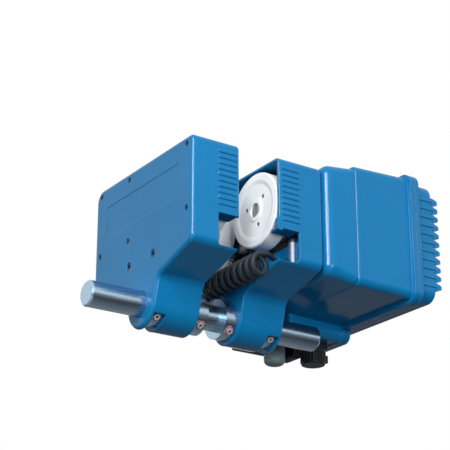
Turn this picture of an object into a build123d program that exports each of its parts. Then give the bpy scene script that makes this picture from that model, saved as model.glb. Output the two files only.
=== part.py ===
from build123d import *
import math
import os

os.makedirs("parts", exist_ok=True)

# Frame: X across the track with the drive on +X, Y along the travel, Z up.
# The origin lies on the running surface, midway between the wheels and the cheeks.

# Track the trolley is set for, and the clearances used throughout
track_half = 50.0
roller_play = 3.0
running_gap = 0.05
seat_gap = 0.3
cut_over = 1.0

# Cheek castings, given for the +X side
cheek_outer = 95.0
cheek_inner = 29.0
cheek_length = 228.0
cheek_top = 101.0
cheek_round = 5.0
inner_round = 2.0
top_round_front = 8.0
top_round_rear = 16.0
slot_top = 8.0
slot_bottom = -31.0
slot_wall = 58.5
slot_corner = 5.0
shelf_height = 3.0
shelf_gap = 2.0
end_wall = 4.0
top_wall = 3.8
outer_wall = 6.0
cavity_floor = -3.0
arm_edge = -32.0
arm_edge_round = 11.0
arm_slope = 16.5
lug_taper = 16.0
lug_radius = 30.5
lug_blend = 12.0
rib_count = 10
rib_pitch = 7.4
rib_height = 3.8
rib_proud = 1.2
rib_round = 0.9
rib_start = 32.5
rib_end = 59.5
rib_low = 18.2
finger_inner = 26.0
finger_width = 8.0
finger_depth = 5.0
finger_low = 5.5
finger_top = 21.5
finger_round = 3.0
plate_recess_length = 171.0
plate_recess_height = 41.5
plate_recess_centre = 51.0
plate_recess_depth = 0.4
plate_recess_round = 3.0

# Crossbar and its clamp collars
bar_radius = 16.0
bar_height = -79.6
bar_left = -167.0
bar_right = 164.0
bar_chamfer = 2.0
collar_radius = 25.0
collar_width = 16.0
collar_screw_radius = 4.0
collar_screw_proud = 2.5
collar_socket_depth = 4.0
outer_collar_inset = 5.0

# Wheels, axles and wheel bearings
wheel_radius = 48.0
wheel_end_room = 1.0
wheel_inner = 30.0
tread_width = 23.0
tread_chamfer = 1.5
wheel_recess_depth = 1.5
wheel_dish = 5.0
wheel_rim = 9.5
wheel_hub_radius = 13.5
wheel_hole_count = 3
wheel_hole_radius = 3.0
wheel_hole_circle = 20.3
wheel_hole_depth = 16.0
wheel_hole_turn = 137.0
wheel_lip = 6.0
wheel_neck = 6.0
axle_radius = 7.5
axle_inset = 2.0
axle_shoulder_radius = 10.5
bearing_radius = 16.0
bearing_width = 9.0
bearing_spacing = 2.0
sleeve_wall = 5.0
clip_width = 1.5
clip_depth = 1.0
clip_proud = 1.2
clip_opening = 6.0

# Axle plates inside the cheeks, with their screws and bolts
axle_plate = 8.0
axle_plate_top = 85.0
plate_end_gap = 2.0
tongue_half = 45.0
tongue_end = 13.3
screw_inset = 13.0
screw_middle = 32.0
screw_row_high = 91.0
screw_row_low = 9.6
screw_radius = 2.0
screw_head_radius = 3.5
screw_head_height = 3.0
screw_head_sunk = 1.0
screw_socket_depth = 2.0
screw_boss_radius = 4.5
screw_boss_length = 14.0
bolt_offset = 28.0
bolt_row = -24.3
bolt_radius = 3.0
bolt_length = 28.0
bolt_head_radius = 4.7
bolt_head_height = 4.0
bolt_socket_depth = 3.0

# Guide rollers
roller_radius = 5.0
roller_inset = 14.0
roller_top = -1.0
roller_chamfer = 0.8
roller_pin_radius = 2.5
roller_pin_head_radius = 4.0
roller_pin_head = 2.5
roller_pin_seat = 2.0
roller_pocket_gap = 0.8

# Gear train: the drive gear meshes with both toothed wheel rims
wheel_teeth = 36
drive_teeth = 34
rim_gap = 2.0
rim_width = 14.0
drive_gear_width = 12.0
final_module = 1.5
final_teeth = 56
final_pinion_teeth = 17
first_module = 1.25
first_teeth = 58
first_pinion_teeth = 17
gear_width = 12.0
gear_side_room = 1.5
gear_spacing = 3.5
pinion_over = 0.5
pressure_angle = 20.0
tooth_play = 0.25
layshaft_radius = 5.0
layshaft_bearing_radius = 9.5
layshaft_bearing_width = 5.0
layshaft_offset = 50.0
motor_offset = 42.0

# Drive housings, with the draft of their sides
pad_proud = 2.0
joint_room = 9.5
housing_wall = 5.0
housing_back_wall = 6.0
housing_over = 5.0
housing_draft = 2.0
housing_step = 1.0
gear_bottom_near = -36.5
gear_bottom_far = -42.5
gear_top_near = 109.0
gear_top_far = 111.4
motor_bottom_near = -43.5
motor_bottom_far = -46.5
motor_top_near = 115.0
motor_top_far = 118.3
housing_corner = 10.0
gear_corner = 16.0
gear_housing_round = 13.0
motor_housing_round = 4.0
lobe_length = 80.0
lobe_over = 4.0
lobe_bottom = -65.2
lobe_corner = 11.0
lobe_wall = 5.0
lobe_overlap = 20.0
lip_proud = 4.8
lobe_lip_proud = 1.0
lip_width = 6.5
lip_room = 2.5
gasket_width = 1.0
gasket_inset = 1.0
spigot_radius = 26.0
spigot_gap = 6.0
spigot_shoulder = 4.0
pad_half = 60.0
pad_low = -6.0
pad_high = 84.0
drive_screw_radius = 4.0
drive_screw_head_radius = 6.5
drive_screw_head = 6.0
drive_screw_socket = 4.0
drive_screw_half = 20.0
drive_screw_rows = [12.0, 79.0]

# End cap with its cooling fins
cap_room = 10.6
cap_inset = 2.5
cap_corner = 16.0
cap_round = 6.0
cap_wall = 5.0
fin_count = 11
fin_pitch = 11.6
fin_base = 10.0
fin_tip = 3.0
fin_height = 10.0
fin_low = -23.3
fin_corner = 4.0
ridge_proud = 1.0
ridge_setback = 4.0
cap_screw_radius = 3.0
cap_screw_head_radius = 5.0
cap_screw_head = 4.0
cap_screw_socket = 2.0
cap_screw_seat = 11.5
cap_screw_inset = 24.0
cap_screw_rows = [-36.0, 107.5]
cap_screw_length = 24.0
cap_boss_radius = 7.0
cap_boss_floor = 2.0

# Motor and brake
stator_radius = 55.0
stator_length = 52.0
stator_seat = 5.0
rotor_radius = 30.0
air_gap = 0.6
motor_shaft_radius = 7.5
motor_shaft_room = 1.0
motor_shaft_end = 3.0
motor_bearing_radius = 17.5
motor_bearing_width = 11.0
motor_bearing_floor = 3.5
motor_boss_radius = 22.0
winding_length = 9.0
winding_overlap = 3.0
winding_gap = 1.0
winding_inner = 33.0
winding_outer = 50.0
shield_thickness = 6.0
brake_magnet_radius = 42.0
brake_magnet_length = 16.0
brake_magnet_room = 2.5
brake_disc_radius = 38.0
brake_disc_thickness = 4.5
brake_gap = 0.4

# Connection box, lid and gland under the drive
box_inset = 18.0
box_depth = 51.0
box_bottom = -72.0
box_wall = 4.0
box_overlap = 10.0
box_room_height = 19.0
lid_setback = 4.0
lid_depth = 22.0
lid_thickness = 9.0
lid_screw_radius = 2.0
lid_screw_head_radius = 3.5
lid_screw_head = 2.0
lid_screw_grip = 5.5
gland_inset = 31.0
gland_radius = 15.0
gland_nut_radius = 14.0
gland_hex_height = 9.0
gland_nut_height = 22.0
gland_round = 7.0

# Socket under the motor housing with its turning cap
socket_inset = 19.0
socket_setback = 38.0
socket_base_half = 15.0
socket_base_height = 7.0
socket_radius = 12.5
socket_length = 18.0
cap_ring_radius = 16.0
cap_rib_count = 24
cap_rib_radius = 1.0
cap_floor = 3.0
cap_tab_length = 5.5
cap_tab_width = 9.0
cap_tab_height = 10.0
holder_width = 12.0
holder_gap = 2.0
holder_front = 2.0
holder_rear = 32.0
holder_bottom = -87.0

# Curly cord: hand-chosen places, in order from the grommet to the gland
cord_radius = 3.25
curl_radius = 12.0
curl_turns = 10
curl_axis_x = 13.0
curl_axis_z = -35.5
curl_lead = 14.0
grommet_setback = 14.0
grommet_radius = 5.5
grommet_face = 2.5
grommet_stem_radius = 4.6
grommet_stem = 7.0
cord_lead = 7.0
tail_reach = 24.0
tail_run = 0.75
tail_turn = 26.0
tail_height = -60.5
cord_gland_inset = 12.0
cord_gland_radius = 8.0
cord_gland_length = 13.0
cord_gland_nut = 5.2
cord_gland_step = 1.0
cord_gland_round = 1.5

# Places along the travel, worked out from the sizes above
half_length = cheek_length / 2
wheel_axis_y = half_length - end_wall - wheel_end_room - wheel_radius
wheel_axis_z = wheel_radius
wheel_module = 2 * wheel_axis_y / (wheel_teeth + drive_teeth)
axle_plate_half = half_length - end_wall - plate_end_gap
roller_offset = half_length - roller_inset
screw_columns = [screw_inset - half_length, screw_middle, half_length - screw_inset]
tongue_bottom = bolt_row - tongue_end
gear_half_near = half_length + housing_over
gear_half_far = gear_half_near + housing_draft
motor_half_near = gear_half_far + housing_step
motor_half_far = motor_half_near + housing_draft
cap_half = motor_half_far - cap_inset
cap_screw_half = motor_half_far - cap_screw_inset
box_rear = half_length - box_inset
box_front = box_rear - box_depth
lid_front = box_rear - lid_depth
lobe_rear = box_rear + lobe_over
lobe_front = lobe_rear - lobe_length
gland_y = (box_front + lid_front) / 2
socket_y = box_rear - socket_setback
grommet_y = grommet_setback - roller_offset
curl_start_y = grommet_y - curl_lead
tail_rear_y = box_rear - cord_gland_inset
tail_low_y = tail_rear_y - tail_turn
curl_end_y = tail_low_y - tail_run - tail_reach
curl_pitch = (curl_end_y - curl_start_y) / (curl_turns + 0.25)

# Places across the track: wheels and cheeks
tread_end = wheel_inner + tread_width
rim_start = tread_end + rim_gap
rim_end = rim_start + rim_width
spigot_start = rim_end + spigot_gap
wall_inside = cheek_outer - outer_wall
plate_inside = wall_inside - axle_plate
bearing_start = wheel_inner + wheel_lip
bearing_middle = bearing_start + bearing_width
bearing_end = bearing_middle + bearing_spacing + bearing_width
shoulder_start = bearing_end + seat_gap
clip_start = bearing_start - clip_width - seat_gap
roller_x = track_half + roller_play + roller_radius
roller_pin_low = arm_edge - roller_pin_seat

# Places across the track: gears, motor, brake and end cap
drive_start = cheek_outer + pad_proud
back_face = drive_start + housing_back_wall
final_start = back_face + gear_side_room
final_end = final_start + gear_width
first_start = final_end + gear_spacing
first_end = first_start + gear_width
housing_joint = first_end + joint_room
motor_wall = housing_joint + housing_back_wall
motor_bearing_start = housing_joint + motor_bearing_floor
motor_bearing_end = motor_bearing_start + motor_bearing_width
stator_start = motor_bearing_end + winding_length - winding_overlap
stator_end = stator_start + stator_length
shield_start = stator_end + winding_length + winding_gap
shield_end = shield_start + shield_thickness
rear_bearing_start = shield_end - motor_bearing_width
magnet_end = shield_end + brake_magnet_length
disc_start = magnet_end + brake_gap
disc_end = disc_start + brake_disc_thickness
motor_shaft_tip = disc_end + motor_shaft_end
motor_housing_end = shield_end + lip_room
lip_start = motor_housing_end - lip_width
cap_start = motor_housing_end + gasket_width
cap_inside = motor_shaft_tip + cap_room
cap_face = cap_inside + cap_wall
fin_face = cap_face + fin_height
cap_seat = cap_start + cap_screw_seat

# Places across the track: connection box and socket
box_start = drive_start
lid_start = box_start + lid_setback
socket_x = lip_start - socket_inset
holder_end = socket_x - cap_ring_radius - cap_rib_radius - holder_gap
box_end = holder_end - holder_width
gland_x = box_end - gland_inset


def save(piece, name):
    """Write one node of the trolley."""
    export_step(piece, f"parts/{name}.step")


def block(x0, x1, y0, y1, z0, z1):
    """Plain box between two corners."""
    centre = Pos((x0 + x1) / 2, (y0 + y1) / 2, (z0 + z1) / 2)
    return centre * Box(x1 - x0, y1 - y0, z1 - z0)


def rod_x(radius, start, end, y, z):
    """Round bar along X."""
    disc = Plane.YZ.offset(start) * Pos(y, z) * Circle(radius)
    return extrude(disc, end - start)


def rod_z(radius, low, high, x, y):
    """Round bar along Z."""
    disc = Plane.XY.offset(low) * Pos(x, y) * Circle(radius)
    return extrude(disc, high - low)


def ring_x(outer, inner, start, end, y, z):
    """Plain ring around an axis along X."""
    band = Plane.YZ.offset(start) * Pos(y, z) * (Circle(outer) - Circle(inner))
    return extrude(band, end - start)


def hex_x(across, start, end, y, z):
    """Hexagon prism along X, measured across its flats."""
    shape = Plane.YZ.offset(start) * Pos(y, z) * RegularPolygon(across / 2, 6, major_radius=False)
    return extrude(shape, end - start)


def nearest_corner(shape, x, y):
    """The corner of a flat outline that lies nearest to a point."""
    return shape.vertices().sort_by_distance((x, y, 0))[0]


def left_copy(piece):
    """The same piece on the -X side."""
    return mirror(piece, about=Plane.YZ)


def save_both(piece, name):
    """Write a piece of the drive side and its mirror image on the idle side."""
    save(left_copy(piece), f"idle_{name}")
    save(piece, f"drive_{name}")


def gear_outline(module, teeth, phase):
    """Flat outline of a spur gear with one tooth centred on the angle phase, in radians."""
    pitch_radius = module * teeth / 2
    base_radius = pitch_radius * math.cos(math.radians(pressure_angle))
    root_radius = pitch_radius - 1.25 * module
    tip_radius = pitch_radius + module
    pitch_involute = math.tan(math.radians(pressure_angle)) - math.radians(pressure_angle)
    half_tooth = math.pi / (2 * teeth) - tooth_play / (2 * pitch_radius)

    def half_angle(radius):
        pressure = math.acos(min(1.0, base_radius / max(radius, base_radius)))
        return half_tooth + pitch_involute - (math.tan(pressure) - pressure)

    flank = [root_radius, max(base_radius, root_radius + 0.1 * module), pitch_radius, tip_radius]
    points = []
    for tooth in range(teeth):
        centre = phase + tooth * 2 * math.pi / teeth
        rising = [(radius, centre - half_angle(radius)) for radius in flank]
        falling = [(radius, centre + half_angle(radius)) for radius in reversed(flank)]
        points += [(r * math.cos(a), r * math.sin(a)) for r, a in rising + falling]
    return make_face(Polyline(*points, close=True))


def gear_x(module, teeth, phase, start, end, y, z):
    """Spur gear around an axis along X."""
    return extrude(Plane.YZ.offset(start) * Pos(y, z) * gear_outline(module, teeth, phase), end - start)


# Side outline of a cheek: box above, sloping arms and a tapered lug around the crossbar
taper = math.radians(lug_taper)
lug_tangent_y = lug_radius * math.cos(taper)
lug_tangent_z = bar_height - lug_radius * math.sin(taper)
slope = math.tan(math.radians(arm_slope))
lug_lean = math.tan(taper)
corner_reach = lug_tangent_y + lug_lean * (arm_edge - lug_tangent_z) - lug_lean * slope * half_length
corner_y = corner_reach / (1 - lug_lean * slope)
corner_z = arm_edge - (half_length - corner_y) * slope


def cheek_outline():
    """Closed side outline with its corners rounded."""
    sides = Polyline(
        (-lug_tangent_y, lug_tangent_z),
        (-corner_y, corner_z),
        (-half_length, arm_edge),
        (-half_length, cheek_top),
        (half_length, cheek_top),
        (half_length, arm_edge),
        (corner_y, corner_z),
        (lug_tangent_y, lug_tangent_z),
    )
    bottom = ThreePointArc(
        (lug_tangent_y, lug_tangent_z),
        (0, bar_height - lug_radius),
        (-lug_tangent_y, lug_tangent_z),
    )
    outline = make_face(sides.edges() + bottom.edges())
    rounds = [
        (-half_length, cheek_top, top_round_front),
        (half_length, cheek_top, top_round_rear),
        (-half_length, arm_edge, arm_edge_round),
        (half_length, arm_edge, arm_edge_round),
        (-corner_y, corner_z, lug_blend),
        (corner_y, corner_z, lug_blend),
    ]
    for y, z, radius in rounds:
        outline = fillet(nearest_corner(outline, y, z), radius)
    return outline


def cavity_outline():
    """Inside of the upper box, with walls of even thickness round its top corners."""
    reach = half_length - end_wall
    roof = cheek_top - top_wall
    outline = make_face(
        Polyline((-reach, cavity_floor), (reach, cavity_floor), (reach, roof), (-reach, roof), close=True)
    )
    outline = fillet(nearest_corner(outline, -reach, roof), top_round_front - end_wall)
    return fillet(nearest_corner(outline, reach, roof), top_round_rear - end_wall)


def collar_x(side):
    """Where the outer and the inner collar of a cheek start, on the +X side."""
    if side == "outer":
        return cheek_outer - outer_collar_inset - collar_width
    return cheek_inner - collar_width


def screw_places():
    """Heights and columns of the six small cheek screws."""
    return [(y, z) for z in (screw_row_low, screw_row_high) for y in screw_columns]


def cheek():
    """One cheek casting without the features that differ from side to side."""
    body = extrude(Plane.YZ.offset(cheek_inner) * cheek_outline(), cheek_outer - cheek_inner)
    body = fillet(body.faces().sort_by(Axis.X)[-1].edges(), cheek_round)
    body = fillet(body.faces().sort_by(Axis.X)[0].edges(), inner_round)

    # Grip ribs on the inner half of the end walls, as far up as the walls are straight
    for end, top_round in ((-1, top_round_front), (1, top_round_rear)):
        face = end * half_length
        low_y, high_y = sorted((face - end * cut_over, face + end * rib_proud))
        for number in range(rib_count):
            z = rib_low + number * rib_pitch
            if z + rib_height > cheek_top - top_round:
                continue
            rib = block(rib_start, rib_end, low_y, high_y, z, z + rib_height)
            rib = fillet(rib.edges().filter_by(Axis.Y), rib_height * 0.45)
            crest = rib.faces().sort_by(Axis((0, 0, 0), (0, end, 0)))[-1]
            body += fillet(crest.edges(), rib_round)

    # Slot for the track, cavity for wheels and gears, and room for the axle plate's tongue
    slot_reach = half_length + rib_proud + cut_over
    slot = block(0, slot_wall, -slot_reach, slot_reach, slot_bottom, slot_top)
    body -= fillet(slot.edges().filter_by(Axis.Y).sort_by(Axis.X)[-2:].sort_by(Axis.Z)[:1], slot_corner)
    body -= extrude(Plane.YZ * cavity_outline(), wall_inside)
    tongue_top = cavity_floor + cut_over
    body -= block(plate_inside, wall_inside, -tongue_half, tongue_half, tongue_bottom, tongue_top)

    # Shelf over the slot's mouth at both ends, as far in as the wheels leave room
    shelf_top = slot_top + shelf_height
    wheel_reach = math.sqrt(wheel_radius**2 - (wheel_axis_z - shelf_top) ** 2)
    shelf_end = wheel_axis_y + wheel_reach + shelf_gap
    shelf_root = half_length - end_wall + cut_over
    for end in (-1, 1):
        low_y, high_y = sorted((end * shelf_end, end * shelf_root))
        body += block(cheek_inner + inner_round, slot_wall, low_y, high_y, slot_top, shelf_top)

    # Crossbar bore and the slot from below that holds the outer collar
    body -= rod_x(bar_radius + running_gap, cheek_inner - cut_over, cheek_outer + cut_over, 0, bar_height)
    pocket_start = collar_x("outer") - seat_gap
    pocket_end = pocket_start + collar_width + 2 * seat_gap
    pocket_radius = collar_radius + seat_gap
    body -= rod_x(pocket_radius, pocket_start, pocket_end, 0, bar_height)
    pocket_floor = bar_height - lug_radius - cut_over
    body -= block(pocket_start, pocket_end, -pocket_radius, pocket_radius, pocket_floor, bar_height)

    # Bosses and holes for the small screws, holes for the two larger bolts
    for y, z in screw_places():
        if z == screw_row_high:
            body += rod_x(screw_boss_radius, wall_inside - screw_boss_length, wall_inside, y, z)
        body -= rod_x(screw_radius, wall_inside - screw_boss_length, cheek_outer, y, z)
        seat = cheek_outer - screw_head_height - screw_head_sunk
        body -= rod_x(screw_head_radius + seat_gap, seat, cheek_outer, y, z)
    for y in (-bolt_offset, bolt_offset):
        seat = cheek_outer - bolt_head_height - screw_head_sunk
        body -= rod_x(bolt_radius, seat - bolt_length, cheek_outer, y, bolt_row)
        body -= rod_x(bolt_head_radius + seat_gap, seat, cheek_outer, y, bolt_row)

    # Pockets for the guide rollers and bores for their pins
    for y in (-roller_offset, roller_offset):
        body -= rod_z(roller_radius + roller_pocket_gap, slot_bottom, cavity_floor, roller_x, y)
        body -= rod_z(roller_pin_radius, roller_pin_low, slot_bottom, roller_x, y)
    return body


# Crossbar, which carries everything, and the two cheek castings
crossbar = chamfer(
    rod_x(bar_radius, bar_left, bar_right, 0, bar_height).edges().filter_by(GeomType.CIRCLE), bar_chamfer
)
save(crossbar, "crossbar")

cheek_casting = cheek()
recess = block(
    cheek_outer - plate_recess_depth,
    cheek_outer + cut_over,
    -plate_recess_length / 2,
    plate_recess_length / 2,
    plate_recess_centre - plate_recess_height / 2,
    plate_recess_centre + plate_recess_height / 2,
)
recess = fillet(recess.edges().filter_by(Axis.X), plate_recess_round)
save(left_copy(cheek_casting - recess), "idle_cheek")

drive_screw_places = [(side * drive_screw_half, z) for side in (-1, 1) for z in drive_screw_rows]
spigot_hole = rod_x(spigot_radius + seat_gap, plate_inside, cheek_outer + cut_over, 0, wheel_axis_z)
drive_cheek = cheek_casting - spigot_hole
for y, z in drive_screw_places:
    drive_cheek -= rod_x(drive_screw_radius + seat_gap, plate_inside, cheek_outer + cut_over, y, z)
grommet_z = curl_axis_z + curl_radius
drive_cheek -= rod_x(grommet_radius + seat_gap, slot_wall - grommet_face, slot_wall, grommet_y, grommet_z)
drive_cheek -= rod_x(grommet_stem_radius, slot_wall, slot_wall + grommet_stem, grommet_y, grommet_z)
for end in (-1, 1):
    low_y, high_y = sorted((end * half_length, end * (half_length - finger_depth)))
    finger = block(finger_inner, finger_inner + finger_width, low_y, high_y, finger_low, finger_top)
    drive_cheek += fillet(finger.edges().filter_by(Axis.Y).sort_by(Axis.X)[:2], finger_round)
save(drive_cheek, "drive_cheek")


def axle_plate_piece():
    """Steel plate that carries both axles, with a tongue for the two larger bolts."""
    plate = block(plate_inside, wall_inside, -axle_plate_half, axle_plate_half, cavity_floor, axle_plate_top)
    plate += block(plate_inside, wall_inside, -tongue_half, tongue_half, tongue_bottom, cavity_floor)
    for y in (-wheel_axis_y, wheel_axis_y):
        plate -= rod_x(axle_radius, plate_inside, wall_inside, y, wheel_axis_z)
    for y in screw_columns:
        plate -= rod_x(screw_radius, plate_inside, wall_inside, y, screw_row_low)
    for y in (-bolt_offset, bolt_offset):
        plate -= rod_x(bolt_radius, plate_inside, wall_inside, y, bolt_row)
    return plate


idle_plate = axle_plate_piece()
save(left_copy(idle_plate), "idle_axle_plate")
drive_plate = idle_plate - spigot_hole
for y, z in drive_screw_places:
    drive_plate -= rod_x(drive_screw_radius + seat_gap, plate_inside, wall_inside, y, z)
save(drive_plate, "drive_axle_plate")


def small_screws():
    """Six recessed socket screws of one cheek."""
    pieces = []
    for y, z in screw_places():
        head_end = cheek_outer - screw_head_sunk
        seat = head_end - screw_head_height
        tip = plate_inside if z == screw_row_low else wall_inside - screw_boss_length
        screw = rod_x(screw_radius, tip, seat, y, z) + rod_x(screw_head_radius, seat, head_end, y, z)
        pieces.append(screw - hex_x(screw_radius * 1.6, head_end - screw_socket_depth, head_end, y, z))
    return Compound(children=pieces)


def large_bolts():
    """Two larger socket bolts that hold the axle plate's tongue."""
    pieces = []
    for y in (-bolt_offset, bolt_offset):
        head_end = cheek_outer - screw_head_sunk
        seat = head_end - bolt_head_height
        bolt = rod_x(bolt_radius, seat - bolt_length, seat, y, bolt_row)
        bolt += rod_x(bolt_head_radius, seat, head_end, y, bolt_row)
        socket = hex_x(bolt_radius * 1.6, head_end - bolt_socket_depth, head_end, y, bolt_row)
        pieces.append(bolt - socket)
    return Compound(children=pieces)


save_both(small_screws(), "cheek_screws")
save_both(large_bolts(), "cheek_bolts")


# Clamp collars on the crossbar, each with one screw at 45 degrees below the front
def collar(start):
    """Clamp collar with its screw hole."""
    band = ring_x(collar_radius, bar_radius + running_gap, start, start + collar_width, 0, bar_height)
    return band - collar_screw(start, bar_radius, collar_radius + cut_over, collar_screw_radius)


def collar_screw(start, low, high, radius):
    """Round plug along the collar's screw axis, from one distance off the bar's axis to another."""
    plane = Plane(origin=(start + collar_width / 2, 0, bar_height), z_dir=(0, -1, -1))
    return extrude(plane.offset(low) * Circle(radius), high - low)


def collar_screws():
    """The set screws of one cheek's two collars, with hexagon sockets."""
    pieces = []
    for start in (collar_x("outer"), collar_x("inner")):
        top = collar_radius + collar_screw_proud
        screw = collar_screw(start, bar_radius + running_gap, top, collar_screw_radius)
        plane = Plane(origin=(start + collar_width / 2, 0, bar_height), z_dir=(0, -1, -1))
        socket = plane.offset(top - collar_socket_depth) * RegularPolygon(collar_screw_radius * 0.5, 6)
        pieces.append(screw - extrude(socket, collar_socket_depth))
    return Compound(children=pieces)


for name in ("outer", "inner"):
    save_both(collar(collar_x(name)), f"{name}_collar")
save_both(collar_screws(), "collar_screws")


# Wheels on their axles: the drive wheels carry a toothed rim, the idle wheels a plain neck
def wheel_turning(y, end):
    """Turned wheel body around an axle at y, out to a shoulder."""
    tread = rod_x(wheel_radius, wheel_inner, tread_end, y, wheel_axis_z)
    tread = chamfer(tread.edges().filter_by(GeomType.CIRCLE), tread_chamfer)
    rim_root = wheel_module * wheel_teeth / 2 - 1.25 * wheel_module
    body = tread + rod_x(rim_root, tread_end, end, y, wheel_axis_z)
    recess_outer = wheel_radius - wheel_rim
    recess_end = wheel_inner + wheel_recess_depth
    hole_end = wheel_inner + wheel_hole_depth
    dish = loft(
        [
            Plane.YZ.offset(wheel_inner) * Pos(y, wheel_axis_z) * Circle(recess_outer),
            Plane.YZ.offset(recess_end) * Pos(y, wheel_axis_z) * Circle(recess_outer - wheel_dish),
        ]
    )
    body -= dish - rod_x(wheel_hub_radius, wheel_inner, recess_end, y, wheel_axis_z)
    for number in range(wheel_hole_count):
        angle = math.radians(wheel_hole_turn + number * 360 / wheel_hole_count)
        hole_y = y + wheel_hole_circle * math.cos(angle)
        hole_z = wheel_axis_z + wheel_hole_circle * math.sin(angle)
        body -= rod_x(wheel_hole_radius, wheel_inner, hole_end, hole_y, hole_z)
    return body


def wheel_bore(y, end):
    """Space for the bearings and the axle's end."""
    bore = rod_x(bearing_radius, bearing_start, end, y, wheel_axis_z)
    lip = rod_x(axle_radius + clip_proud + seat_gap, wheel_inner, bearing_start, y, wheel_axis_z)
    return bore + lip


def wheel_bearings(y):
    """Two sealed bearings and the sleeve between them, pressed into one wheel."""
    inner = axle_radius + running_gap
    first = ring_x(bearing_radius, inner, bearing_start, bearing_middle, y, wheel_axis_z)
    second_start = bearing_middle + bearing_spacing
    second = ring_x(bearing_radius, inner, second_start, bearing_end, y, wheel_axis_z)
    sleeve_inner = bearing_radius - sleeve_wall
    sleeve = ring_x(bearing_radius, sleeve_inner, bearing_middle, second_start, y, wheel_axis_z)
    return Compound(children=[first, sleeve, second])


def axle(y):
    """Stub axle pressed into the axle plate, with a shoulder for the bearings and a groove for its clip."""
    body = rod_x(axle_radius, wheel_inner + axle_inset, wall_inside, y, wheel_axis_z)
    body += rod_x(axle_shoulder_radius, shoulder_start, plate_inside, y, wheel_axis_z)
    clip_end = clip_start + clip_width
    groove = ring_x(axle_radius + cut_over, axle_radius - clip_depth, clip_start, clip_end, y, wheel_axis_z)
    return body - groove


def axle_clips():
    """Retaining clips of one cheek's two axles."""
    pieces = []
    for y in (-wheel_axis_y, wheel_axis_y):
        outer = axle_radius + clip_proud
        clip_end = clip_start + clip_width
        clip = ring_x(outer, axle_radius - clip_depth, clip_start, clip_end, y, wheel_axis_z)
        half = clip_opening / 2
        low = wheel_axis_z - outer - cut_over
        clip -= block(clip_start, clip_end, y - half, y + half, low, wheel_axis_z)
        pieces.append(clip)
    return Compound(children=pieces)


gap_to_gear = math.pi / wheel_teeth
neck_end = tread_end + wheel_neck
for end, y in (("front", -wheel_axis_y), ("rear", wheel_axis_y)):
    idle_wheel = wheel_turning(y, neck_end) - wheel_bore(y, neck_end)
    save(left_copy(idle_wheel), f"idle_wheel_{end}")
    drive_wheel = wheel_turning(y, rim_start)
    drive_wheel += gear_x(wheel_module, wheel_teeth, gap_to_gear, rim_start, rim_end, y, wheel_axis_z)
    drive_wheel -= wheel_bore(y, rim_end)
    save(drive_wheel, f"drive_wheel_{end}")
    save_both(wheel_bearings(y), f"bearings_{end}")
save_both(Compound(children=[axle(y) for y in (-wheel_axis_y, wheel_axis_y)]), "axles")
save_both(axle_clips(), "axle_clips")


# Guide rollers that turn on upright pins beside the track
def roller(y):
    """Steel roller with a bore for its pin."""
    body = rod_z(roller_radius, slot_bottom + seat_gap, roller_top, roller_x, y)
    body = chamfer(body.edges().filter_by(GeomType.CIRCLE), roller_chamfer)
    return body - rod_z(roller_pin_radius + running_gap, slot_bottom, roller_top + cut_over, roller_x, y)


def roller_pins():
    """Headed pins of one cheek's two rollers."""
    pieces = []
    for y in (-roller_offset, roller_offset):
        seat = roller_top + seat_gap
        pin = rod_z(roller_pin_radius, roller_pin_low, seat, roller_x, y)
        pieces.append(pin + rod_z(roller_pin_head_radius, seat, seat + roller_pin_head, roller_x, y))
    return Compound(children=pieces)


for end, y in (("front", -roller_offset), ("rear", roller_offset)):
    save_both(roller(y), f"roller_{end}")
save_both(roller_pins(), "roller_pins")

# Shafts of the drive unit: output at the wheels' height, layshaft below it, motor beside it
final_distance = final_module * (final_teeth + final_pinion_teeth) / 2
first_distance = first_module * (first_teeth + first_pinion_teeth) / 2
layshaft_y = layshaft_offset
layshaft_z = wheel_axis_z - math.sqrt(final_distance**2 - layshaft_offset**2)
motor_y = layshaft_y - motor_offset
motor_z = layshaft_z + math.sqrt(first_distance**2 - motor_offset**2)
to_layshaft = math.atan2(layshaft_z - wheel_axis_z, layshaft_y)
to_motor = math.atan2(motor_z - layshaft_z, motor_y - layshaft_y)
gear_near = [gear_half_near, gear_bottom_near, gear_top_near]
gear_far = [gear_half_far, gear_bottom_far, gear_top_far]
motor_near = [motor_half_near, motor_bottom_near, motor_top_near]
motor_far = [motor_half_far, motor_bottom_far, motor_top_far]


def section(x, size, inset, corner):
    """Rounded outline of a housing across X: half length, bottom and top, drawn in by inset."""
    half, low, high = size
    outline = RectangleRounded(2 * (half - inset), high - low - 2 * inset, corner)
    return Plane.YZ.offset(x) * Pos(0, (low + high) / 2) * outline


def lobe_section(x, inset):
    """Outline of the lobe below the motor housing, drawn in by inset."""
    width = lobe_rear - lobe_front - 2 * inset
    top = motor_bottom_near + lobe_overlap
    height = top - lobe_bottom - 2 * inset
    outline = RectangleRounded(width, height, lobe_corner - inset / 2)
    return Plane.YZ.offset(x) * Pos((lobe_front + lobe_rear) / 2, (top + lobe_bottom) / 2) * outline


def first_face(body):
    """Edges round the face nearest to the trolley's middle."""
    return body.faces().sort_by(Axis.X)[0].edges()


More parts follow.
